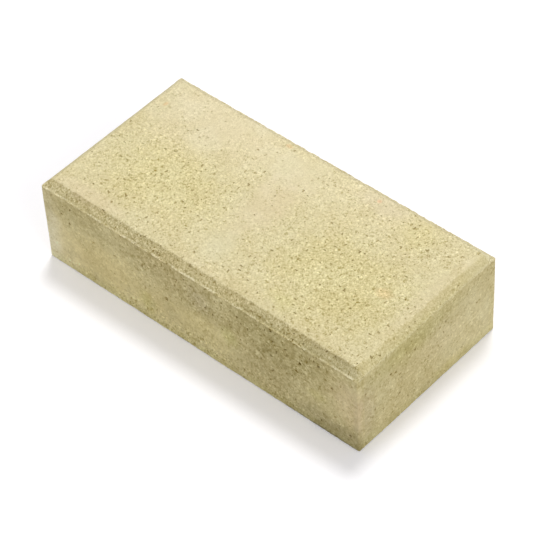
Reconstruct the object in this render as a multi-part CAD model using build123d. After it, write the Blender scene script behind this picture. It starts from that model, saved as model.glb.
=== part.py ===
"""Rectangular pressed concrete paver, one piece, with bevelled top edges.

Millimetres. +Z is up, +X runs along the paver and +Y across it. The origin is at the middle of the bed face.
"""

import os

from build123d import *

# Body
length = 230.0
width = 115.0
height = 60.0
corner_radius = 1.0  # upright corners, as the mould box leaves them
foot_radius = 0.6  # edge round the bed face

# Bevel round the wearing face
side_bevel_run = 4.7  # long sides, measured level
side_bevel_drop = 4.7  # long sides, measured down from the wearing face
end_bevel_run = 4.7  # short ends, measured level
end_bevel_drop = 4.7  # short ends, measured down from the wearing face
ledge = 0.8  # level step at the foot of a long side's bevel, where the pressing plate stops
side_arris_radius = 0.7  # crisp edge between the wearing face and a long side's bevel
end_arris_radius = 2.5  # softer edge between the wearing face and a short end's bevel


def arch(half, arris_radius):
    """Mirrored face from its right half, given from the foot up, with its top corners rounded."""
    face = make_face(Polyline(*half, *[(-x, z) for x, z in reversed(half)], close=True))
    top = max(z for x, z in half)
    return fillet(face.vertices().filter_by_position(Axis.Y, top, top), arris_radius)


def cross_section():
    """Section across the paver: long sides, ledges, bevels and wearing face."""
    bevel_foot = height - side_bevel_drop
    half = [
        (width / 2, 0),
        (width / 2, bevel_foot),
        (width / 2 - ledge, bevel_foot),
        (width / 2 - ledge - side_bevel_run, height),
    ]
    return arch(half, side_arris_radius)


def long_section():
    """Section along the paver: short ends, bevels and wearing face."""
    half = [
        (length / 2, 0),
        (length / 2, height - end_bevel_drop),
        (length / 2 - end_bevel_run, height),
    ]
    return arch(half, end_arris_radius)


def make_paver():
    """What the two sections and the rounded plan share, with its bed edges eased."""
    across = extrude(Plane.YZ * cross_section(), length / 2, both=True)
    along = extrude(Plane.XZ * long_section(), width / 2, both=True)
    plan = extrude(RectangleRounded(length, width, corner_radius), height)
    body = across & along & plan
    bed = body.faces().sort_by(Axis.Z)[0]
    return fillet(bed.outer_wire().edges(), foot_radius)


os.makedirs("parts", exist_ok=True)
paver = make_paver()
paver.label = "paver"
export_step(paver, "parts/paver.step")
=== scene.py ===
"""Looks of a pressed concrete paver: its worn, pitted body, its sandy finish, and the studio it is shown in.

The body is modelled in millimetres with +Z up, X along the paver and Y across it, and is turned to metres at
the end.
"""

import logging
import math
import random
from collections.abc import Iterator
from dataclasses import dataclass, field
from enum import Enum

import bmesh
import bpy
from mathutils import Matrix, Vector, kdtree, noise


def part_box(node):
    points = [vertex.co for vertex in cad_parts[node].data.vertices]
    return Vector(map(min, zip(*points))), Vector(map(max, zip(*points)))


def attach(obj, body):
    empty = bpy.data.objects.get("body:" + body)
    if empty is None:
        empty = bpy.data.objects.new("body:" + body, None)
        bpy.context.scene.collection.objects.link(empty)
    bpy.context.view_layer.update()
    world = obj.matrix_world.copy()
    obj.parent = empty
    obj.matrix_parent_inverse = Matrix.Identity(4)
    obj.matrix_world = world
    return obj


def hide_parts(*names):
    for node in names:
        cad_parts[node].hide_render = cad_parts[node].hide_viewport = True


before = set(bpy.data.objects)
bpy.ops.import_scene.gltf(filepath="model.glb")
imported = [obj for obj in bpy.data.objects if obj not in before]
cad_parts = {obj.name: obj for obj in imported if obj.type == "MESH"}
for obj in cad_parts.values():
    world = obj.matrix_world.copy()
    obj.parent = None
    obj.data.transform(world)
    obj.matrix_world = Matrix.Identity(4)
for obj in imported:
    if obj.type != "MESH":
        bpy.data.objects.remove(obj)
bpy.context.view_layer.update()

MM = 0.001
HOLLOW = "hollow"  # layer of how dark a point is: random grain tone, and painted shade in sunken dimples and pits
log = logging.getLogger("paver")

Mesh = bmesh.types.BMesh
Face = bmesh.types.BMFace
Triple = tuple[float, float, float]

# A socket's name or number, and what can be put into it
Key = str | int
Input = "Signal | float | tuple[float, ...]"

# The block that the places below were read on, in millimetres
BEVEL = 4.7
LEDGE = 0.8
TOP_Z = 60.0
FRONT_Y = -57.5
RIGHT_X = 115.0
BEVEL_FOOT_Z = TOP_Z - BEVEL


class Zone(Enum):
    """The kinds of surface that a pressed paver has."""

    WEARING = "wearing face"
    SIDE_BEVEL = "bevel or ledge of a long side"
    END_BEVEL = "bevel of a short end"
    SIDE = "long side"
    END = "short end"
    BED = "bed face"


@dataclass(frozen=True)
class Relief:
    """How uneven one kind of surface is.

    swell, lump and grain are depths in millimetres of broad, middling and grain-sized unevenness. dimples is
    the share of points sunk by up to dimple_depth, and pits the share of cells opened by up to pit_depth.
    """

    swell: float
    lump: float
    grain: float
    dimples: float
    dimple_depth: float
    pits: float = 0.0
    pit_depth: float = 0.40


RELIEFS = {
    Zone.WEARING: Relief(swell=0.08, lump=0.05, grain=0.08, dimples=0.06, dimple_depth=0.24, pits=0.020),
    Zone.SIDE_BEVEL: Relief(swell=0.10, lump=0.05, grain=0.14, dimples=0.10, dimple_depth=0.28, pits=0.008),
    Zone.END_BEVEL: Relief(swell=0.08, lump=0.03, grain=0.08, dimples=0.05, dimple_depth=0.26, pits=0.008),
    Zone.SIDE: Relief(swell=0.16, lump=0.12, grain=0.12, dimples=0.05, dimple_depth=0.26, pits=0.008),
    Zone.END: Relief(swell=0.14, lump=0.08, grain=0.09, dimples=0.04, dimple_depth=0.24, pits=0.005),
    Zone.BED: Relief(swell=0.10, lump=0.16, grain=0.10, dimples=0.10, dimple_depth=0.40),
}


@dataclass(frozen=True)
class Wander:
    """Smooth unevenness, from about -1 to 1.

    size is how wide its features are in millimetres, and shift keeps one use of the noise apart from
    another.
    """

    size: float
    shift: Triple = (0, 0, 0)

    def at(self, place: Vector) -> float:
        """Its value at a place on the block."""
        return noise.noise(place / self.size + Vector(self.shift))

    def along(self, x: float, side: float) -> float:
        """Its value at a distance along one of the long sides, which are -1 and 1."""
        return noise.noise(Vector((x / self.size, side * self.shift[1], self.shift[2])))


@dataclass(frozen=True)
class Patch:
    """A soft patch of the surface that differs from its surroundings.

    at is its middle and reach its half sizes, in millimetres. tint multiplies the colour at its middle, and
    open says how much more or less the surface is pitted and speckled there. The patch is full within core
    and gone beyond edge, which are shares of its reach.
    """

    at: Triple
    reach: Triple
    tint: Triple
    open: float = 0.0
    core: float = 0.25
    edge: float = 1.05

    def strength(self, place: Vector) -> float:
        """How strongly the patch shows.

        Args:
            place: The place on the block, in millimetres.

        Returns:
            A share from 0 to 1.
        """
        away = Vector([(p - a) / r for p, a, r in zip(place, self.at, self.reach)]).length
        share = min(1.0, max(0.0, (self.edge - away) / (self.edge - self.core)))
        return share * share * (3 - 2 * share)


WEARING_PATCHES = (
    # The first three patches make the wearing face lighter towards the back and left and darker along the
    # front: partly its own colour, partly painted light.
    Patch((-10, 60, 60), (160, 60, 5), (1.08, 1.08, 1.12)),
    Patch((-74, 44, 60), (64, 40, 5), (1.04, 1.04, 1.12), open=-0.5),
    Patch((30, -54, 60), (110, 16, 5), (0.96, 0.95, 0.93)),
    Patch((-5, 38, 60), (28, 20, 5), (1.01, 1.02, 1.06), open=-0.4),
    Patch((44, 48, 60), (24, 12, 5), (1.01, 1.01, 1.10), open=-0.3),
    Patch((92, -30, 60), (32, 28, 5), (0.965, 0.960, 0.935)),
    Patch((-78, 12, 60), (26, 18, 5), (1.03, 1.03, 1.04)),
    Patch((-4, 8, 60), (19, 36, 5), (1.03, 1.01, 1.07), open=-0.6),
    Patch((-3, -32, 60), (12, 18, 5), (1.01, 1.03, 1.09), open=-0.5),
    Patch((-60, -14, 60), (54, 34, 5), (1.00, 1.00, 0.92), open=0.3),
    Patch((64, -12, 60), (56, 46, 5), (0.98, 0.98, 0.89), open=0.4),
    Patch((77, 40, 60), (18, 15, 5), (0.98, 0.98, 0.90), open=0.2),
    Patch((50, -42, 60), (12, 7, 5), (0.97, 0.98, 0.90)),
    Patch((-85, -49, 60), (32, 8, 5), (1.02, 1.00, 1.06), open=-0.4),
    Patch((108, 6, 60), (8, 52, 5), (1.00, 0.99, 1.02), open=-0.4),
    Patch((0, -50, 60), (24, 5, 4), (1.04, 1.04, 1.08)),
    Patch((88, -4, 60), (7, 5, 5), (1.03, 0.95, 0.91)),
    Patch((42, 48, 60), (2, 2, 5), (1.03, 0.86, 0.80)),
    Patch((-103, 32, 60), (2, 3, 5), (1.03, 0.90, 0.80)),
    Patch((-25, 50, 60), (3, 2, 5), (1.03, 0.92, 0.84)),
)
BEVEL_PATCHES = (
    # Painted shade: a dark line just under the front arris towards the right
    Patch((90, -53.2, 58.8), (24, 1.3, 1.3), (0.88, 0.87, 0.86)),
    Patch((102, -55, 57), (32, 4, 4), (0.88, 0.89, 0.90), open=-0.6),
    # Painted highlight on a stretch of the front ledge
    Patch((62, -57.1, 55.4), (15, 1.0, 1.0), (1.16, 1.17, 1.22)),
    Patch((112, 46, 58), (7, 16, 5), (1.03, 1.04, 1.09), open=-0.3),
)
SIDE_PATCHES = (
    Patch((58, -57, 48), (58, 5, 24), (0.81, 0.80, 0.73), open=0.7),
    Patch((4, -57, 38), (34, 5, 12), (0.92, 0.915, 0.90), open=0.3),
    Patch((54, -57, 22), (32, 5, 20), (0.86, 0.85, 0.82), open=0.4),
    Patch((0, -57, 6), (120, 5, 9), (1.0, 1.0, 1.0), open=0.5),
    Patch((-24, -57, 50), (46, 5, 15), (0.89, 0.87, 0.83), open=0.4),
    Patch((-84, -57, 48), (26, 5, 13), (0.92, 0.92, 0.90), open=0.2),
    Patch((-66, -57, 22), (54, 5, 22), (1.14, 1.13, 1.11), open=-0.5),
    # Painted light: lighter along the foot of the front wall's left half, against the floor's contact shade
    Patch((-40, -57, 2), (96, 5, 14), (1.18, 1.20, 1.25)),
    Patch((-114, -57, 10), (34, 5, 34), (1.26, 1.30, 1.50), open=-0.4),
    Patch((-116, -57, 28), (16, 5, 46), (1.08, 1.12, 1.32), open=-0.3),
    Patch((2, -57, 42), (11, 5, 12), (1.01, 1.01, 1.09)),
    Patch((6, -57, 19), (28, 5, 17), (1.14, 1.14, 1.12), open=-0.3),
    Patch((110, -57, 34), (18, 5, 22), (1.12, 1.09, 1.20), open=-0.5),
    Patch((-38, -57, 14), (9, 5, 9), (0.98, 1.00, 0.88)),
    Patch((25, -57, 28), (9, 5, 9), (0.99, 1.02, 0.90)),
    Patch((86, -57, 25), (9, 5, 5), (1.00, 1.01, 0.92)),
    Patch((104, -57, 4), (42, 5, 15), (0.75, 0.74, 0.73)),
    # Painted shadow: a dark contact line along the front wall's lower edge towards the right-hand corner
    Patch((88, -57, 0.4), (38, 5, 1.9), (0.68, 0.69, 0.74)),
)
END_PATCHES = (
    Patch((115, -52, 28), (5, 11, 26), (1.00, 0.98, 1.05), open=-0.3),
    Patch((115, -12, 50), (5, 60, 10), (0.94, 0.945, 0.86)),
    Patch((115, -18, 46), (5, 34, 13), (0.97, 0.98, 0.92)),
    Patch((115, 42, 16), (5, 40, 40), (1.13, 1.155, 1.25), open=-0.3),
    Patch((115, -52, 42), (5, 14, 14), (0.95, 0.95, 0.94)),
    Patch((115, 10, 30), (5, 26, 14), (1.03, 1.02, 1.04)),
    Patch((115, -54, 14), (5, 16, 30), (0.92, 0.925, 0.92)),
    Patch((115, 20, 5), (5, 20, 5), (1.00, 0.99, 0.92)),
)
PATCHES = WEARING_PATCHES + BEVEL_PATCHES + SIDE_PATCHES + END_PATCHES


@dataclass(frozen=True)
class Pit:
    """One open pit, large enough to be known by its place. Lengths are in millimetres."""

    at: Triple
    radius: float = 0.7
    depth: float = 0.6


def on_front_bevel(x: float, share: float) -> Triple:
    """A place on the front bevel, at a share of its rise."""
    return x, FRONT_Y + LEDGE + BEVEL * share, BEVEL_FOOT_Z + BEVEL * share


def on_right_bevel(y: float, share: float) -> Triple:
    """A place on the right-hand bevel, at a share of its rise."""
    return RIGHT_X - BEVEL * share, y, BEVEL_FOOT_Z + BEVEL * share


WEARING_PITS = tuple(Pit((x, y, TOP_Z)) for x, y in (
    (92, -8), (56, -40), (54, -36), (17, -39), (16, -36), (13, -43), (-26, -34), (-72, -45), (-96, -41),
    (-90, -41), (-93, -15), (-33, -23), (-28, -23), (42, 16), (4, 28), (-5, 15), (-37, 37), (-67, 43),
    (32, 19), (31, -49), (78, -17), (104, -20), (21, -17), (-4, -3), (-22, 26),
))
FRONT_PITS = tuple(Pit((x, FRONT_Y, z), radius=radius) for x, z, radius in (
    (-93, 50, 1.0), (-95, 38, 1.1), (-39, 41, 0.9), (-43, 36, 1.0), (-22, 26, 1.4), (-13, 47, 0.8),
    (-21, 37, 0.8), (31, 48, 1.0), (8, 39, 1.0), (97, 38, 1.2), (34, 8, 0.8), (27, 10, 0.8), (53, 14, 0.9),
    (-58, 50, 0.8), (50, 39, 0.8), (65, 46, 0.9), (75, 42, 0.8), (88, 49, 1.0), (109, 9, 0.8), (-77, 35, 0.7),
))
RIGHT_PITS = tuple(Pit((RIGHT_X, y, z), radius=radius) for y, z, radius in (
    (-11, 41, 0.9), (2, 42, 0.8), (15, 41, 0.9), (-49, 36, 0.8), (-51, 41, 0.9), (-31, 39, 1.0),
    (-27, 37, 0.9), (-23, 33, 0.9), (-22, 29, 0.8), (-37, 17, 0.8), (-24, 18, 0.8), (-17, 10, 0.8),
    (-48, 10, 0.7), (0, 36, 0.7), (-40, 47, 0.7), (-29, 44, 0.7),
))
FRONT_BEVEL_PITS = tuple(Pit(on_front_bevel(x, share), radius=0.5, depth=0.45) for x, share in (
    (-88, 0.55), (-57, 0.80), (-46, 0.50), (-42, 0.80), (-34, 0.75), (-28, 0.30), (-17, 0.45), (-7, 0.30),
    (-5, 0.65), (29, 0.40), (69, 0.55), (76, 0.30), (91, 0.75), (96, 0.70),
))
RIGHT_BEVEL_PITS = tuple(Pit(on_right_bevel(y, share), radius=0.5, depth=0.45) for y, share in (
    (-37, 0.37), (-38, 0.70), (-12, 0.55), (-8, 0.55), (11, 0.30), (27, 0.40),
))
KNOWN_PITS = WEARING_PITS + FRONT_PITS + RIGHT_PITS + FRONT_BEVEL_PITS + RIGHT_BEVEL_PITS


@dataclass(frozen=True)
class PitStep:
    """One of the steps in which a pit is sunk.

    narrowing is how far in from the last step it lies, in millimetres, share is its part of the depth, and
    darkness how much painted shade its edge gets, from 0 to 1.
    """

    narrowing: float
    share: float
    darkness: float


@dataclass
class Opening:
    """A group of neighbouring cells that sink as one pit of a depth, in millimetres, and a darkness of
    painted shade.
    """

    cells: list[Face]
    depth: float
    darkness: float


@dataclass
class PressedBody:
    """The cast body, from its clean moulded form to its worn and pitted surface.

    Lengths are in millimetres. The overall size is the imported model's.
    """

    length: float
    width: float
    height: float

    # Moulded form
    bevel: float = BEVEL
    ledge: float = LEDGE
    ledge_rise: float = 0.25
    corner_radius: float = 1.0
    corner_steps: int = 3
    foot_radius: float = 0.6
    foot_steps: int = 2

    # Cells, which are smaller in the rim of the upper side and larger on the bed
    cell: float = 0.95
    rim: float = 6.0
    rim_cell: float = 0.75
    bed_step: int = 4
    cut_tolerance: float = 0.001

    # Softened ends and corners
    end_turns: int = 5
    end_reach: float = 4.0
    end_margin: float = 0.3
    corner_turns: int = 6
    corner_reach: float = 8.5
    corner_depth: float = 4.2

    # Crumbled ledges and nibbled edges
    touch: float = 0.1
    ledge_loss: Wander = Wander(size=5.0, shift=(0, 3, 0))
    ledge_wave: Wander = Wander(size=2.2, shift=(0, 5, 9))
    arris_loss: Wander = Wander(size=2.6, shift=(0, 7, 4))
    ledge_loss_share: float = 0.9
    ledge_wave_height: float = 0.12
    arris_drop: float = 0.6
    arris_retreat: float = 0.3
    loss_bias: float = 0.05

    # Rough surface
    reliefs: dict[Zone, Relief] = field(default_factory=lambda: dict(RELIEFS))
    swell: Wander = Wander(size=26.0)
    lump: Wander = Wander(size=4.5, shift=(40, 0, 0))
    recess: float = 0.14
    skin: float = 0.02
    shuffle: float = 0.22
    grain_darkness: float = 0.15
    # dimple_darkness is painted shade in the dimples, deepening with how far each is sunk
    dimple_darkness: float = 0.35
    least_sunk: float = 0.4

    # Openness, where 1 is usual
    patches: tuple[Patch, ...] = PATCHES
    open_wander: Wander = Wander(size=17.0, shift=(9, 9, 9))
    open_swing: float = 0.7
    least_open: float = 0.15
    most_open: float = 2.0

    # Pits
    pits: tuple[Pit, ...] = KNOWN_PITS
    # known_darkness is painted shade in the known pits
    known_darkness: float = 0.8
    least_pit_cell: float = 0.35
    beside_chance: float = 0.12
    pit_sizes: tuple[float, ...] = (0.7, 0.85, 1.0)
    pit_steps: tuple[PitStep, ...] = (
        PitStep(narrowing=0.14, share=0.35, darkness=0.55), PitStep(narrowing=0.12, share=0.65, darkness=1.0))

    # Directions, as the upright part of a normal, or as how far two normals agree
    level: float = 0.7
    tilted: float = 0.93
    upright: float = 0.15
    steep: float = 0.9
    bed_flat: float = 0.99
    aligned: float = 0.7
    same: float = 0.999

    top_depth: float = 1.0  # how far down a level surface still counts as the wearing face
    sharp_angle: float = 38.0
    tenth_shift: float = 0.37
    seed: int = 11

    def build(self) -> bpy.types.Object:
        """Models the body.

        Returns:
            The body as an object in metres.
        """
        shape = self.moulded()
        shape.verts.layers.float.new(HOLLOW)
        self.slice(shape)
        self.soften(shape)
        self.crumble(shape)
        self.roughen(shape)
        self.open_pits(shape)
        return self.finished(shape)

    @property
    def bevel_foot(self) -> float:
        """Height at which the ledges lie and the bevels start."""
        return self.height - self.bevel

    @property
    def ledge_edge(self) -> float:
        """Distance from the middle line at which the ledges end and the long sides' bevels start."""
        return self.width / 2 - self.ledge

    @property
    def side_arris(self) -> float:
        """Distance from the middle line of the crisp edges above the long sides' bevels."""
        return self.ledge_edge - self.bevel

    @property
    def end_arris(self) -> float:
        """Distance from the middle of the soft edges above the short ends' bevels."""
        return self.length / 2 - self.bevel

    def moulded(self) -> Mesh:
        """Models the clean form that leaves the mould: walls, ledges, bevels and wearing face.

        Returns:
            The mesh, in millimetres.
        """
        shape = bmesh.new()
        bmesh.ops.create_cube(shape, size=1.0)
        bmesh.ops.scale(shape, vec=(self.length, self.width, self.bevel_foot), verts=shape.verts)
        bmesh.ops.translate(shape, vec=(0, 0, self.bevel_foot / 2), verts=shape.verts)
        upright = [e for e in shape.edges if abs(e.verts[0].co.z - e.verts[1].co.z) > self.bevel]
        bmesh.ops.bevel(
            shape, geom=upright, offset=self.corner_radius, segments=self.corner_steps, profile=0.5,
            affect="EDGES", material=-1)
        around_bed = [e for e in shape.edges if max(v.co.z for v in e.verts) < self.foot_radius]
        bmesh.ops.bevel(
            shape, geom=around_bed, offset=self.foot_radius, segments=self.foot_steps, profile=0.5,
            affect="EDGES", material=-1)
        self.raise_top(shape, (1, self.ledge_edge / (self.width / 2)), self.ledge_rise)
        narrowing = (self.end_arris / (self.length / 2), self.side_arris / self.ledge_edge)
        self.raise_top(shape, narrowing, self.bevel - self.ledge_rise)
        return shape

    def raise_top(self, shape: Mesh, narrowing: tuple[float, float], rise: float) -> None:
        """Extrudes the uppermost face and narrows it.

        Args:
            shape: The mesh to change.
            narrowing: Factors along X and Y.
            rise: Height in millimetres.
        """
        shape.normal_update()
        top = max(shape.faces, key=lambda f: f.calc_center_median().z)
        raised = bmesh.ops.extrude_face_region(shape, geom=[top])["geom"]
        corners = [g for g in raised if isinstance(g, bmesh.types.BMVert)]
        bmesh.ops.delete(shape, geom=[top], context="FACES")
        bmesh.ops.scale(shape, vec=(*narrowing, 1), verts=corners)
        bmesh.ops.translate(shape, vec=(0, 0, rise), verts=corners)

    def cuts(self, flat: float, wall: float) -> list[float]:
        """Spaces the slices along one axis, closer together near the edges.

        Args:
            flat: Half the wearing face's size.
            wall: Half the size of the wall below it, between its rounded corners.

        Returns:
            The places of the slices, in rising order.
        """
        inner = flat - self.rim
        middle, edge = round(2 * inner / self.cell), round(self.rim / self.rim_cell)
        beyond = round((wall - flat) / self.rim_cell)
        outer = [inner + self.rim * i / edge for i in range(1, edge + 1)]
        outer += [flat + (wall - flat) * i / beyond for i in range(1, beyond)]
        return ([-place for place in reversed(outer)]
                + [-inner + 2 * inner * i / middle for i in range(middle + 1)] + outer)

    def levels(self) -> list[float]:
        """Spaces the slices through the walls and the bevels.

        Returns:
            The heights of the slices, in rising order.
        """
        rows, steps = round(self.bevel_foot / self.cell), round(self.bevel / self.rim_cell)
        bevel_start, bevel_rise = self.bevel_foot + self.ledge_rise, self.bevel - self.ledge_rise
        return ([self.bevel_foot * i / rows for i in range(1, rows)]
                + [bevel_start + bevel_rise * i / steps for i in range(1, steps)])

    def slice(self, shape: Mesh) -> None:
        """Cuts the walls and the upper side into cells of a grain's size, and the bed into larger ones.

        Args:
            shape: The mesh to change.
        """
        along = self.cuts(self.end_arris, self.length / 2 - self.corner_radius)
        across = self.cuts(self.side_arris, self.width / 2 - self.corner_radius)
        rows = (0, along, self.upright), (1, across, self.upright), (2, self.levels(), self.steep)
        for axis, places, lean in rows:
            shape.normal_update()
            upper = [f for f in shape.faces if abs(f.normal[axis]) < lean and f.normal.z > -self.steep]
            self.cut(shape, upper, axis, places)
        for axis, places in ((0, along), (1, across)):
            shape.normal_update()
            bed = [f for f in shape.faces if f.normal.z < -self.bed_flat]
            self.cut(shape, bed, axis, places[::self.bed_step])

    def cut(self, shape: Mesh, faces: list[Face], axis: int, places: list[float]) -> None:
        """Cuts some faces by a row of planes.

        Args:
            shape: The mesh to change.
            faces: The faces to cut.
            axis: The axis that the planes stand across.
            places: Where they are along it.
        """
        direction = Vector((0, 0, 0))
        direction[axis] = 1
        # Dictionaries keep their order, which sets don't, so the cuts come out the same each time
        edges = dict.fromkeys(e for f in faces for e in f.edges)
        corners = dict.fromkeys(v for f in faces for v in f.verts)
        pieces = [*faces, *edges, *corners]
        for place in places:
            pieces = bmesh.ops.bisect_plane(
                shape, geom=pieces, dist=self.cut_tolerance, plane_co=direction * place, plane_no=direction,
            )["geom"]

    def soften(self, shape: Mesh) -> None:
        """Rounds the short ends' bevels and the four upper corners, which come out of the mould soft.

        Args:
            shape: The mesh to change.
        """
        half_length, half_width = self.length / 2, self.width / 2
        ends = [
            v for v in shape.verts
            if v.co.z > self.bevel_foot - self.end_reach and abs(v.co.x) > self.end_arris - self.end_reach
            and abs(v.co.y) < self.side_arris - self.end_margin
        ]
        corners = [
            v for v in shape.verts
            if v.co.z > self.height - self.corner_depth
            and math.hypot(half_length - abs(v.co.x), half_width - abs(v.co.y)) < self.corner_reach
        ]
        for points, turns, sideways in ((ends, self.end_turns, False), (corners, self.corner_turns, True)):
            for _ in range(turns):
                bmesh.ops.smooth_vert(
                    shape, verts=points, factor=0.5, use_axis_x=True, use_axis_y=sideways, use_axis_z=True)

    def crumble(self, shape: Mesh) -> None:
        """Breaks up the ledges, and nibbles the crisp edges above the long sides' bevels.

        Args:
            shape: The mesh to change.
        """
        for v in shape.verts:
            out, side = abs(v.co.y), math.copysign(1.0, v.co.y)
            if abs(v.co.x) > self.length / 2 - self.corner_reach / 2:
                continue
            above_ledge = abs(v.co.z - self.bevel_foot)
            if out > self.ledge_edge - self.touch and above_ledge < self.ledge_rise + self.touch:
                lost = max(0.0, self.ledge_loss.along(v.co.x, side) + self.loss_bias)
                v.co.y -= side * self.ledge_loss_share * lost * (out - self.ledge_edge + self.touch)
                v.co.z += self.ledge_wave_height * self.ledge_wave.along(v.co.x, side)
            elif abs(out - self.side_arris) < self.touch and v.co.z > self.height - self.touch:
                lost = max(0.0, self.arris_loss.along(v.co.x, side) - self.loss_bias)
                v.co.z -= self.arris_drop * lost
                v.co.y -= side * self.arris_retreat * lost

    def zone(self, place: Vector, normal: Vector) -> Zone:
        """Tells which kind of surface a point lies on.

        Args:
            place: The point, in millimetres.
            normal: The surface's outward direction there.

        Returns:
            The zone.
        """
        faces_side = abs(normal.y) > abs(normal.x)
        if normal.z < -self.level:
            return Zone.BED
        if place.z > self.bevel_foot - self.touch and normal.z < self.tilted:
            return Zone.SIDE_BEVEL if faces_side else Zone.END_BEVEL
        if normal.z > self.level:
            return Zone.WEARING if place.z > self.height - self.top_depth else Zone.SIDE_BEVEL
        return Zone.SIDE if faces_side else Zone.END

    def openness(self, place: Vector) -> float:
        """How pitted the surface is at a place, where 1 is usual."""
        known = sum(patch.open * patch.strength(place) for patch in self.patches if patch.open)
        usual = 1.0 + known + self.open_swing * self.open_wander.at(place)
        return min(self.most_open, max(self.least_open, usual))

    def tenths(self, place: Vector) -> tuple[int, ...]:
        """A place in whole tenths of a millimetre. The shift keeps round sizes away from the steps."""
        return tuple(math.floor(part * 10 + self.tenth_shift) for part in place)

    def luck(self, place: Vector, purpose: str) -> random.Random:
        """The random source that belongs to a place, so that the order of the points doesn't matter."""
        return random.Random(f"{self.seed} {purpose} {self.tenths(place)}")

    def roughen(self, shape: Mesh) -> None:
        """Shuffles the points of flat places, and presses every point in by the unevenness of its zone.

        Args:
            shape: The mesh to change.
        """
        hollow = shape.verts.layers.float[HOLLOW]
        shape.normal_update()
        moves = []
        for v in shape.verts:
            draw = self.luck(v.co, "grain")
            normal = v.normal.copy()
            relief, openness = self.reliefs[self.zone(v.co, normal)], self.openness(v.co)
            slip = Vector([draw.uniform(-self.shuffle, self.shuffle) for _ in range(3)])
            if min(f.normal.dot(normal) for f in v.link_faces) < self.same:
                slip.zero()
            grain = draw.uniform(-1, 1) * openness
            depth = self.recess + relief.grain * grain
            depth += relief.swell * self.swell.at(v.co)
            depth += relief.lump * self.lump.at(v.co)
            v[hollow] = self.grain_darkness * grain
            if draw.random() < relief.dimples * openness:
                sunk = draw.uniform(self.least_sunk, 1.0)
                depth += sunk * relief.dimple_depth
                # Painted shade in the dimple, deepening with its depth
                v[hollow] = self.grain_darkness + self.dimple_darkness * sunk
            moves.append((v, slip - slip.dot(normal) * normal - max(self.skin, depth) * normal))
        for v, move in moves:
            v.co += move

    def open_pits(self, shape: Mesh) -> None:
        """Opens the pits known by their place, and small ones scattered over the more open parts.

        A pit that would meet an earlier one is left out.

        Args:
            shape: The mesh to change.
        """
        shape.normal_update()
        cells = [f for f in shape.faces if len(f.verts) == 4 and f.calc_area() > self.least_pit_cell]
        cells.sort(key=lambda f: self.tenths(f.calc_center_median()))
        taken: set[Face] = set()
        groups: dict[tuple[float, float], list[Face]] = {}
        for opening in (*self.known_openings(cells), *self.scattered_openings(cells)):
            group = groups.setdefault((opening.depth, opening.darkness), [])
            around = {f for cell in opening.cells for v in cell.verts for f in v.link_faces}
            if not around & taken:
                group += opening.cells
                taken |= around
        for (depth, darkness), faces in groups.items():
            self.sink(shape, faces, depth, darkness)
        log.info("%d cells opened into pits", sum(len(faces) for faces in groups.values()))

    def known_openings(self, cells: list[Face]) -> Iterator[Opening]:
        """Finds the cells of the pits known by their place.

        Args:
            cells: The cells that can be opened.

        Yields:
            One opening for each pit.
        """
        tree = kdtree.KDTree(len(cells))
        for i, cell in enumerate(cells):
            tree.insert(cell.calc_center_median(), i)
        tree.balance()
        for pit in self.pits:
            near = [cells[i] for _, i, _ in tree.find_range(pit.at, pit.radius)]
            yield Opening(near or [cells[tree.find(pit.at)[1]]], pit.depth, self.known_darkness)

    def scattered_openings(self, cells: list[Face]) -> Iterator[Opening]:
        """Picks small pits at random, more of them where the surface is more open.

        Args:
            cells: The cells that can be opened.

        Yields:
            One opening for each pit.
        """
        for cell in cells:
            place = cell.calc_center_median()
            draw = self.luck(place, "pit")
            relief = self.reliefs[self.zone(place, cell.normal)]
            if draw.random() > relief.pits * self.openness(place) ** 2:
                continue
            beside = [
                f for e in cell.edges for f in e.link_faces
                if f != cell and self.luck(f.calc_center_median(), "beside").random() < self.beside_chance
            ]
            near = [
                f for f in (cell, *beside) if len(f.verts) == 4 and f.normal.dot(cell.normal) > self.aligned]
            size = draw.choice(self.pit_sizes)
            yield Opening(near, relief.pit_depth * size, size)

    def sink(self, shape: Mesh, faces: list[Face], depth: float, darkness: float) -> None:
        """Sinks pits that are alike.

        Args:
            shape: The mesh to change.
            faces: The cells of all the pits.
            depth: How deep they are, in millimetres.
            darkness: How much painted shade their floors get, from 0 to 1.
        """
        hollow = shape.verts.layers.float[HOLLOW]
        for step in self.pit_steps:
            bmesh.ops.inset_region(
                shape, faces=faces, thickness=step.narrowing, depth=-depth * step.share, use_boundary=True)
            for face in faces:
                for v in face.verts:
                    # Painted shade on the pits' floors
                    v[hollow] = darkness * step.darkness

    def finished(self, shape: Mesh) -> bpy.types.Object:
        """Triangulates the larger faces, sets the normals outwards, turns the mesh to metres and makes it an
        object.

        Args:
            shape: The mesh, which is used up.

        Returns:
            The object.
        """
        bmesh.ops.triangulate(shape, faces=[f for f in shape.faces if len(f.verts) > 4])
        bmesh.ops.recalc_face_normals(shape, faces=shape.faces)
        bmesh.ops.scale(shape, vec=(MM, MM, MM), verts=shape.verts)
        for face in shape.faces:
            face.smooth = True
        mesh = bpy.data.meshes.new("paver_body")
        shape.to_mesh(mesh)
        shape.free()
        mesh.set_sharp_from_angle(angle=math.radians(self.sharp_angle))
        body = bpy.data.objects.new("paver_body", mesh)
        bpy.context.scene.collection.objects.link(body)
        return body


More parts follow.
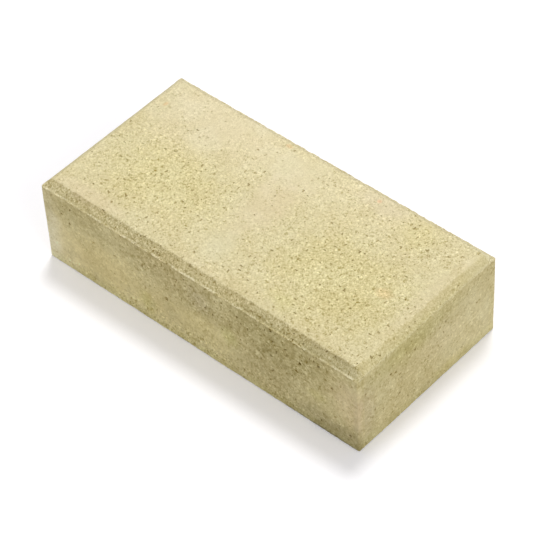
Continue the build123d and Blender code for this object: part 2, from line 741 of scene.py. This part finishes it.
class Signal:
    """A value that varies over a surface, written in Python arithmetic that adds Math nodes."""

    def __init__(self, wiring: "Wiring", socket: "bpy.types.NodeSocket | None") -> None:
        """Wraps one output socket of a node tree, or nothing for a node that ends the tree."""
        self.wiring = wiring
        self.socket = socket

    def math(self, operation: str, *others: "Signal | float", clamp: bool = False) -> "Signal":
        """Adds a Math node.

        Args:
            operation: The node's operation.
            others: The values after this one.
            clamp: Whether the result is kept between 0 and 1.

        Returns:
            The result.
        """
        values = dict(enumerate((self, *others)))
        return self.wiring.node("ShaderNodeMath", {"operation": operation, "use_clamp": clamp}, values)

    def __add__(self, other: "Signal | float") -> "Signal":
        """Sum."""
        return self.math("ADD", other)

    def __radd__(self, other: float) -> "Signal":
        """Sum with a number."""
        return self.math("ADD", other)

    def __mul__(self, other: "Signal | float") -> "Signal":
        """Product."""
        return self.math("MULTIPLY", other)

    def __rmul__(self, other: float) -> "Signal":
        """Product with a number."""
        return self.math("MULTIPLY", other)

    def __sub__(self, other: "Signal | float") -> "Signal":
        """Difference."""
        return self.math("SUBTRACT", other)

    def __rsub__(self, other: float) -> "Signal":
        """Difference from a number."""
        return self.math("MULTIPLY_ADD", -1.0, other)

    def clamped(self) -> "Signal":
        """The same, kept between 0 and 1."""
        return self.math("ADD", 0.0, clamp=True)

    def centred(self) -> "Signal":
        """The same about 0, for a value that runs from 0 to 1."""
        return self - 0.5

    def over(self, low: float, high: float) -> "Signal":
        """A smooth step from 0 at low to 1 at high."""
        inputs = {"Value": self, "From Min": low, "From Max": high}
        return self.wiring.node("ShaderNodeMapRange", {"interpolation_type": "SMOOTHSTEP"}, inputs)


class Wiring:
    """A node tree being put together."""

    def __init__(self, tree: bpy.types.NodeTree) -> None:
        """Empties a node tree."""
        self.tree = tree
        tree.nodes.clear()

    def node(
        self, kind: str, settings: dict[str, str | bool], inputs: dict[Key, Input], output: Key = 0,
    ) -> Signal:
        """Adds a node of any type.

        Args:
            kind: The node's type.
            settings: Its properties, set first.
            inputs: Values or signals by socket name or index.
            output: Name or index of the output to return.

        Returns:
            That output, empty for a node that ends the tree.
        """
        made = self.tree.nodes.new(kind)
        for name, value in settings.items():
            setattr(made, name, value)
        for name, value in inputs.items():
            if isinstance(value, Signal):
                self.tree.links.new(value.socket, made.inputs[name])
            else:
                made.inputs[name].default_value = value
        return Signal(self, made.outputs[output] if made.outputs else None)

    def surface(self, inputs: dict[Key, Input]) -> None:
        """Adds the shader with those inputs, and the material's output."""
        shader = self.node("ShaderNodeBsdfPrincipled", {}, inputs)
        self.node("ShaderNodeOutputMaterial", {}, {"Surface": shader})

    def vector(self, operation: str, inputs: dict[Key, Input], output: Key = 0) -> Signal:
        """One output of a Vector Math node."""
        return self.node("ShaderNodeVectorMath", {"operation": operation}, inputs, output)

    def part(self, vector: Signal, axis: str) -> Signal:
        """One part, X, Y or Z, of a vector or a colour."""
        return self.node("ShaderNodeSeparateXYZ", {}, {0: vector}, axis)

    def blend(self, factor: Input, low: Input, high: Input, kind: str = "MIX") -> Signal:
        """Colour between two colours, by a factor."""
        settings = {"data_type": "RGBA", "blend_type": kind, "clamp_factor": True}
        return self.node("ShaderNodeMix", settings, {0: factor, 6: low, 7: high}, 2)

    def tinted(self, colour: Signal, mask: Signal, tint: Triple) -> Signal:
        """Colour multiplied by a tint where a mask is 1."""
        return self.blend(mask, colour, self.blend(1.0, colour, (*tint, 1.0), "MULTIPLY"))

    def shade(self, value: Signal, hue: Triple) -> Signal:
        """Factor for a colour that is 1 where value is 0, and whose three parts follow it as hue says."""
        parts = {i: 1 + value * share for i, share in enumerate(hue)}
        return self.node("ShaderNodeCombineColor", {}, parts)


@dataclass(frozen=True)
class Fade:
    """A soft border past an edge: 0 up to its start and 1 from its end."""

    start: float
    end: float

    def past(self, value: Signal, edge: float = 0.0) -> Signal:
        """How far a value has come through the border, from 0 to 1."""
        return value.over(edge + self.start, edge + self.end)


@dataclass(frozen=True)
class Share:
    """How much something counts where a mask is 0, and how much more where it is 1."""

    usual: float
    more: float

    def on(self, mask: Signal) -> Signal:
        """The share all over the surface, for a mask or for another signal."""
        return self.usual + self.more * mask


@dataclass(frozen=True)
class Cloud:
    """Smooth noise. size is how wide its features are, in millimetres."""

    size: float
    detail: float = 2.0
    rough: float = 0.5


@dataclass(frozen=True)
class Borders:
    """Where the parts of the surface begin or end, in millimetres past the edge that each lies by."""

    # Past the middle of the block, and above its bed
    half: Fade = Fade(-1.0, 1.0)
    wall_foot: Fade = Fade(0.2, 0.6)

    # Above the foot of the bevels
    bevel_foot: Fade = Fade(0.2, 0.5)
    end_bevel_foot: Fade = Fade(-0.6, 1.8)
    wall_top: Fade = Fade(-0.35, -0.1)
    # Painted shade in a band just under the ledges
    under_ledge_shade: Fade = Fade(-2.2, -1.2)

    # Past the edges above the bevels
    side: Fade = Fade(0.05, 0.5)
    end_bevel: Fade = Fade(-1.4, 0.8)
    upper_border: Fade = Fade(0.9, 2.4)

    # Past the inner edge of the ledges
    ledge: Fade = Fade(-0.5, -0.2)
    lower_border: Fade = Fade(-1.6, -0.8)


class Surface:
    """The body's surface as its material sees it: the object's own coordinates, and masks of its parts."""

    def __init__(self, wiring: Wiring, body: PressedBody) -> None:
        """Adds the nodes for the position and the masks.

        Args:
            wiring: The material's node tree.
            body: The body that the masks fit.
        """
        self.wiring = wiring
        metres = wiring.node("ShaderNodeTexCoord", {}, {}, "Object")
        self.place = wiring.vector("SCALE", {0: metres, "Scale": 1 / MM})
        x, y, self.height = (wiring.part(self.place, axis) for axis in "XYZ")
        out_x, out_y = x.math("ABSOLUTE"), y.math("ABSOLUTE")
        borders, foot = Borders(), body.bevel_foot
        above_foot = borders.bevel_foot.past(self.height, foot)
        self.by_side = borders.side.past(out_y, body.side_arris)
        self.by_end = 1 - self.by_side
        self.at_front = 1 - borders.half.past(y)
        self.at_right = borders.half.past(x)
        self.side_bevel = above_foot * self.by_side
        self.end_bevel = borders.end_bevel.past(out_x, body.end_arris) * (
            borders.end_bevel_foot.past(self.height, foot) * self.by_end)
        # Painted shade: dark lines just under the front arris and along the foot of the front bevel
        self.bevel_border_shade = self.side_bevel * self.at_front * (
            (1 - borders.upper_border.past(out_y, body.side_arris))
            + borders.lower_border.past(out_y, body.ledge_edge))
        self.below_bevel = 1 - borders.wall_top.past(self.height, foot)
        self.wall = self.below_bevel * borders.wall_foot.past(self.height)
        self.ledge = borders.ledge.past(out_y, body.ledge_edge) * (
            (1 - self.below_bevel) * (1 - above_foot))
        # Painted shade in a band on the long walls just under the ledges
        self.under_ledge_shade = self.below_bevel * self.by_side * borders.under_ledge_shade.past(self.height, foot)
        # Random grain tone, and painted shade in the dimples and pits
        self.hollow = wiring.node("ShaderNodeAttribute", {"attribute_name": HOLLOW}, {}, "Fac")

    def cloud(self, cloud: Cloud) -> Signal:
        """Smooth noise about 0."""
        inputs = {
            "Vector": self.place, "Scale": 1 / cloud.size, "Detail": cloud.detail, "Roughness": cloud.rough}
        return self.wiring.node("ShaderNodeTexNoise", {"noise_dimensions": "3D"}, inputs, "Fac").centred()

    def cells(self, size: float, output: str) -> Signal:
        """One output of a pattern of cells that are about size millimetres wide."""
        inputs = {"Vector": self.place, "Scale": 1 / size}
        return self.wiring.node("ShaderNodeTexVoronoi", {"feature": "F1"}, inputs, output)

    def patch(self, patch: Patch, warp: Signal) -> Signal:
        """How strongly a patch with a wandering edge shows.

        Args:
            patch: The patch.
            warp: How far its edge wanders, as a share of its reach.

        Returns:
            A mask from 0 to 1.
        """
        away = self.wiring.vector("SUBTRACT", {0: self.place, 1: patch.at})
        shrunk = self.wiring.vector("DIVIDE", {0: away, 1: patch.reach})
        distance = self.wiring.vector("LENGTH", {0: shrunk}, "Value")
        return 1 - (distance + warp).over(patch.core, patch.edge)


@dataclass(frozen=True)
class Grains:
    """The sand that shows: the tone of each grain and speck, the gaps between grains, and the pale grains."""

    tone: Signal
    specks: Signal
    gaps: Signal
    pale: Signal


@dataclass(frozen=True)
class SandyConcrete:
    """Buff pressed concrete: sand in a pale binder, open pits, and a darker, greener tinge at the walls'
    foot.
    Its bevels, ledges and pits also carry painted shade and highlights.

    Colours and tints are linear. Sizes are in millimetres. Strengths are shares of the lightness.
    """

    buff: Triple = (0.735, 0.641, 0.364)
    cream: Triple = (0.755, 0.670, 0.398)
    # Painted shade: the front and right bevels are tinted much darker than the far bevels, and the unbroken
    # parts of both ledges take the front bevel's shade too.
    side_bevel_shade_tint: Triple = (0.864, 0.845, 0.773)
    end_bevel_shade_tint: Triple = (0.88, 0.87, 0.79)
    far_bevel_tint: Triple = (0.96, 0.965, 0.98)
    side_wall_tint: Triple = (0.98, 0.95, 0.83)
    end_wall_tint: Triple = (0.96, 0.935, 0.84)
    # Painted shade in dark lines along the front bevel's top and foot
    bevel_border_shade_tint: Triple = (0.92, 0.915, 0.89)
    # Painted shade just under the ledges
    under_ledge_shade_tint: Triple = (0.92, 0.91, 0.90)
    # Painted highlight on the broken-up ledges
    ledge_highlight_tint: Triple = (1.04, 1.06, 1.14)
    # Painted shade in the dimples and pits
    pit_shade_tint: Triple = (0.65, 0.60, 0.49)
    foot_tint: Triple = (0.95, 0.96, 0.88)
    foot_top: Fade = Fade(1.0, 9.0)
    patches: tuple[Patch, ...] = PATCHES

    # Clouds that break up the ledges and vary the binder
    broken: Cloud = Cloud(6.0, detail=3.0, rough=0.7)
    broken_edge: Fade = Fade(-0.08, 0.06)
    creamy: Cloud = Cloud(30.0, detail=3.0, rough=0.6)
    creamy_edge: Fade = Fade(-0.12, 0.12)

    # Wandering edges of the patches and of the foot, and how openness varies
    wander: Cloud = Cloud(9.0, detail=3.0, rough=0.6)
    patch_wander: float = 0.9
    foot_wander: float = 14.0
    broad_open: Cloud = Cloud(17.0)
    broad_open_swing: float = 1.2
    near_open: Cloud = Cloud(6.0, detail=1.0)
    near_open_swing: float = 0.9

    # Sand and specks
    sand_size: float = 1.25
    speck_size: float = 0.55
    gap_middle: float = 0.42
    pale_grains: Fade = Fade(0.90, 0.92)
    speckle_hue: Triple = (0.94, 1.07, 1.55)
    speckle_lift: float = 0.02

    # Dark dots, which come in clusters
    dots: Cloud = Cloud(1.6, detail=1.0)
    dot_clusters: Cloud = Cloud(7.0, rough=0.6)
    dot_clustering: float = 0.3
    dot_edge: Fade = Fade(0.15, 0.19)

    # Mottling of the walls
    coarse: Cloud = Cloud(2.4, rough=0.6)
    middling: Cloud = Cloud(4.5, detail=3.0, rough=0.6)
    broad: Cloud = Cloud(13.0)
    blotches: Cloud = Cloud(3.5, detail=3.0, rough=0.75)
    blotch_clusters: Cloud = Cloud(16.0)
    blotch_clustering: float = 0.6
    blotch_edge: Fade = Fade(0.06, 0.16)

    # Strengths, some with how much more they are on the long sides, on their bevels or on the walls
    coarse_strength: Share = Share(0.32, more=0.22)
    middling_strength: Share = Share(0.36, more=0.12)
    blotch_strength: Share = Share(0.03, more=0.05)
    speck_strength: Share = Share(0.30, more=0.08)
    pale_strength: Share = Share(0.10, more=0.08)
    broad_strength: float = 0.25
    tone_strength: float = 0.10
    gap_strength: float = 0.18
    hollow_strength: float = 0.12
    dot_strength: float = 0.24

    # What the specks lose on the walls, and how much more on those of the short ends
    wall_speck_loss: Share = Share(0.10, more=0.05)

    # Contrast, which follows openness
    mottle_contrast: Share = Share(0.4, more=0.6)
    speckle_contrast: Share = Share(0.15, more=0.8)
    side_bevel_contrast: float = 0.52
    wall_contrast_loss: float = 0.05
    least_contrast: float = 0.4
    pit_threshold: float = 0.15

    roughness: float = 0.92
    specular: float = 0.3
    bump_strength: float = 0.6
    bump_height: float = 0.5
    fine: Cloud = Cloud(0.6, detail=3.0, rough=0.65)
    fine_bump: float = 0.5
    grain_bump: float = 0.3
    gap_bump: float = 0.6

    def build(self, body: PressedBody) -> bpy.types.Material:
        """Makes the material.

        Args:
            body: The body that it is for.

        Returns:
            The material.
        """
        material = bpy.data.materials.new("sandy_concrete")
        material.use_nodes = True
        wiring = Wiring(material.node_tree)
        surface = Surface(wiring, body)
        grains = self.grains(surface)
        colour, openness = self.patched(surface, self.tinted_parts(surface))
        speckle = self.mottle(surface, openness) + self.speckle(surface, openness, grains)
        colour = wiring.blend(1.0, colour, wiring.shade(speckle, self.speckle_hue), "MULTIPLY")
        # Painted shade in the dimples and pits, from the hollow layer
        colour = wiring.tinted(colour, (surface.hollow - self.pit_threshold).clamped(), self.pit_shade_tint)
        wiring.surface({
            "Base Color": colour, "Normal": self.bump(surface, grains), "Roughness": self.roughness,
            "Specular IOR Level": self.specular,
        })
        return material

    def tinted_parts(self, surface: Surface) -> Signal:
        """Colours the parts of the body, with painted shade and highlights on the bevels and ledges.

        Args:
            surface: The body's surface.

        Returns:
            The colour.
        """
        broken = self.broken_edge.past(surface.cloud(self.broken))
        far_bevels = surface.side_bevel * (1 - surface.at_front) + surface.end_bevel * (1 - surface.at_right)
        creamy = self.creamy_edge.past(surface.cloud(self.creamy))
        colour = surface.wiring.blend(creamy, (*self.buff, 1), (*self.cream, 1))
        for mask, tint in (
            # Painted shade on the front and right bevels
            (surface.side_bevel * surface.at_front, self.side_bevel_shade_tint),
            (surface.end_bevel * surface.at_right, self.end_bevel_shade_tint),
            (far_bevels, self.far_bevel_tint),
            (surface.below_bevel * surface.by_side, self.side_wall_tint),
            (surface.below_bevel * surface.by_end, self.end_wall_tint),
            # The front bevel's painted shade, on the unbroken parts of the ledges
            (surface.ledge * (1 - broken), self.side_bevel_shade_tint),
            # Painted highlight on the ledges, broken up by a cloud
            (surface.ledge * broken, self.ledge_highlight_tint),
            # Painted shade along the front bevel's borders
            (surface.bevel_border_shade, self.bevel_border_shade_tint),
            # Painted shade under the ledges
            (surface.under_ledge_shade * broken, self.under_ledge_shade_tint),
        ):
            colour = surface.wiring.tinted(colour, mask, tint)
        return colour

    def patched(self, surface: Surface, colour: Signal) -> tuple[Signal, Signal]:
        """Adds the patches, among them painted light and painted shadow, and the darker, greener foot of the
        walls.

        Args:
            surface: The body's surface.
            colour: Its colour so far.

        Returns:
            The colour, and how open the surface is, where 1 is usual.
        """
        wander = surface.cloud(self.wander)
        warp = wander * self.patch_wander
        openness = 1.0 + surface.cloud(self.broad_open) * self.broad_open_swing
        openness = openness + surface.cloud(self.near_open) * self.near_open_swing
        for patch in self.patches:
            mask = surface.patch(patch, warp)
            colour = surface.wiring.tinted(colour, mask, patch.tint)
            if patch.open:
                openness = openness + mask * patch.open
        foot = surface.wall * (1 - self.foot_top.past(surface.height + wander * self.foot_wander))
        return surface.wiring.tinted(colour, foot, self.foot_tint), openness

    def grains(self, surface: Surface) -> Grains:
        """Scatters the sand.

        Args:
            surface: The body's surface.

        Returns:
            The sand, as signals.
        """
        wiring = surface.wiring
        sand, specks = surface.cells(self.sand_size, "Color"), surface.cells(self.speck_size, "Color")
        return Grains(
            tone=wiring.part(sand, "X").centred(),
            specks=wiring.part(specks, "Y").centred(),
            gaps=surface.cells(self.sand_size, "Distance") - self.gap_middle,
            pale=self.pale_grains.past(wiring.part(sand, "Z")),
        )

    def mottle(self, surface: Surface, openness: Signal) -> Signal:
        """Darker and lighter clouds of the walls.

        Args:
            surface: The body's surface.
            openness: How open it is.

        Returns:
            What they add to the lightness, as a share of it.
        """
        blotches = self.blotch_edge.past(
            surface.cloud(self.blotches) + surface.cloud(self.blotch_clusters) * self.blotch_clustering)
        coarse = surface.cloud(self.coarse) * self.coarse_strength.on(surface.by_side)
        middling = surface.cloud(self.middling) * self.middling_strength.on(surface.by_side)
        clouds = coarse + middling - blotches * self.blotch_strength.on(surface.by_side)
        clouds = self.mottle_contrast.on(openness) * clouds
        return surface.wall * (clouds + surface.cloud(self.broad) * self.broad_strength)

    def speckle(self, surface: Surface, openness: Signal, grains: Grains) -> Signal:
        """Sand, specks and dark dots, stronger on the long bevels and weaker on the walls.

        Args:
            surface: The body's surface.
            openness: How open it is.
            grains: The sand.

        Returns:
            What they add to the lightness, as a share of it.
        """
        clusters = surface.cloud(self.dot_clusters) * self.dot_clustering
        dots = self.dot_edge.past(surface.cloud(self.dots) + clusters)
        contrast = self.speckle_contrast.on(openness) + self.side_bevel_contrast * surface.side_bevel
        contrast = contrast - self.wall_contrast_loss * surface.wall
        lost = surface.wall * self.wall_speck_loss.on(surface.by_end)
        speck_strength = self.speck_strength.on(surface.side_bevel) - lost
        light = grains.tone * self.tone_strength + grains.specks * speck_strength
        light = light + grains.pale * self.pale_strength.on(surface.wall) + self.speckle_lift
        # The hollow layer darkens by random grain tone and by painted shade in dimples and pits
        dark = grains.gaps * self.gap_strength + surface.hollow * self.hollow_strength
        dark = dark + dots * self.dot_strength
        return contrast.math("MAXIMUM", self.least_contrast) * (light - dark)

    def bump(self, surface: Surface, grains: Grains) -> Signal:
        """Relief too fine for the mesh.

        Args:
            surface: The body's surface.
            grains: The sand.

        Returns:
            The normal.
        """
        fine = surface.cloud(self.fine) * self.fine_bump
        height = fine + grains.tone * self.grain_bump - grains.gaps * self.gap_bump
        inputs = {"Strength": self.bump_strength, "Distance": self.bump_height * MM, "Height": height}
        return surface.wiring.node("ShaderNodeBump", {}, inputs, "Normal")


@dataclass(frozen=True)
class PaleFloor:
    """Plain floor that looks white where nothing shades it, and throws less light back than it shows.

    seen is its colour to the camera and lifted the glow that it has there, and bounce is how much of the
    lamps' light it throws back. size is in metres.
    """

    seen: Triple = (0.945, 0.936, 0.965)
    lifted: Triple = (0.165, 0.165, 0.170)
    bounce: float = 0.6
    size: float = 8.0

    def build(self) -> bpy.types.Object:
        """Makes the floor and its material.

        Returns:
            The floor.
        """
        mesh = bpy.data.meshes.new("floor")
        sheet = bmesh.new()
        bmesh.ops.create_grid(sheet, x_segments=1, y_segments=1, size=self.size / 2)
        sheet.to_mesh(mesh)
        sheet.free()
        floor = bpy.data.objects.new("floor", mesh)
        bpy.context.scene.collection.objects.link(floor)
        paint = bpy.data.materials.new("floor_paint")
        paint.use_nodes = True
        wiring = Wiring(paint.node_tree)
        seen = wiring.node("ShaderNodeLightPath", {}, {}, "Is Camera Ray")
        wiring.surface({
            "Base Color": wiring.blend(seen, (*(self.bounce,) * 3, 1), (*self.seen, 1)),
            "Emission Color": wiring.blend(seen, (0, 0, 0, 1), (*self.lifted, 1)), "Emission Strength": 1.0,
            "Roughness": 1.0, "Specular IOR Level": 0.0,
        })
        mesh.materials.append(paint)
        return floor


@dataclass(frozen=True)
class Lamp:
    """A broad, distant lamp.

    towards points from the paver to the lamp, and level is the light that it gives a surface facing it, where
    1 shows a colour as it is written. spread is the angle that the lamp fills, in degrees.
    """

    name: str
    towards: Triple
    level: float
    spread: float

    def hang(self) -> None:
        """Puts the lamp in the scene."""
        lamp = bpy.data.lights.new(self.name, "SUN")
        lamp.energy = self.level * math.pi
        lamp.angle = math.radians(self.spread)
        hung = bpy.data.objects.new(self.name, lamp)
        hung.rotation_euler = Vector(self.towards).to_track_quat("Z", "Y").to_euler()
        bpy.context.scene.collection.objects.link(hung)


@dataclass(frozen=True)
class Studio:
    """Soft light at a plain level: an even white surround, a lamp high behind the paver and two fills."""

    surround: float = 0.43
    lamps: tuple[Lamp, ...] = (
        Lamp("key", towards=(-0.15, 0.30, 0.94), level=0.44, spread=14.0),
        Lamp("front_fill", towards=(-0.20, -0.90, 0.40), level=0.09, spread=50.0),
        Lamp("right_fill", towards=(0.85, -0.10, 0.50), level=0.25, spread=40.0),
    )

    def build(self) -> None:
        """Makes the floor, the surround and the lamps."""
        PaleFloor().build()
        self.light_world()
        for lamp in self.lamps:
            lamp.hang()

    def light_world(self) -> None:
        """Makes the even surround, which the camera sees as white."""
        world = bpy.data.worlds.new("surround")
        world.use_nodes = True
        wiring = Wiring(world.node_tree)
        seen = wiring.node("ShaderNodeLightPath", {}, {}, "Is Camera Ray")
        lit, white = (
            wiring.node("ShaderNodeBackground", {}, {"Color": (1, 1, 1, 1), "Strength": strength})
            for strength in (self.surround, 1.0)
        )
        choice = wiring.node("ShaderNodeMixShader", {}, {0: seen, 1: lit, 2: white})
        wiring.node("ShaderNodeOutputWorld", {}, {"Surface": choice})
        bpy.context.scene.world = world


@dataclass(frozen=True)
class Viewpoint:
    """The photograph's viewing angle, as a distance and two angles from a point that the lens looks at.

    Angles are in degrees and lengths in millimetres.
    """

    aim: Triple = (6.7, -7.2, 30.0)
    distance: float = 1402.4
    azimuth: float = 44.061
    elevation: float = 46.040
    roll: float = -3.533
    lens: float = 172.5
    sensor: float = 36.0

    def build(self) -> bpy.types.Object:
        """Makes the camera and gives it to the scene.

        Returns:
            The camera.
        """
        lens = bpy.data.cameras.new("camera")
        lens.lens = self.lens
        lens.sensor_width = self.sensor
        camera = bpy.data.objects.new("camera", lens)
        azimuth, elevation = math.radians(self.azimuth), math.radians(self.elevation)
        level = math.cos(elevation)
        back = Vector((math.sin(azimuth) * level, -math.cos(azimuth) * level, math.sin(elevation)))
        facing = back.to_track_quat("Z", "Y").to_matrix().to_4x4()
        place = Matrix.Translation((Vector(self.aim) + back * self.distance) * MM)
        camera.matrix_world = place @ facing @ Matrix.Rotation(math.radians(self.roll), 4, "Z")
        bpy.context.scene.collection.objects.link(camera)
        bpy.context.scene.camera = camera
        return camera


def main() -> None:
    """Builds the paver, the studio and the camera."""
    logging.basicConfig(level=logging.INFO, format="%(name)s: %(message)s")
    low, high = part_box("paver")
    size = (high - low) / MM
    body = PressedBody(length=size.x, width=size.y, height=size.z)
    paver = body.build()
    paver.data.materials.append(SandyConcrete().build(body))
    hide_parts("paver")
    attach(paver, "root")
    log.info("%s has %d faces", paver.name, len(paver.data.polygons))
    Studio().build()
    Viewpoint().build()
    bpy.context.scene.view_settings.view_transform = "Standard"


if __name__ == "__main__":
    main()
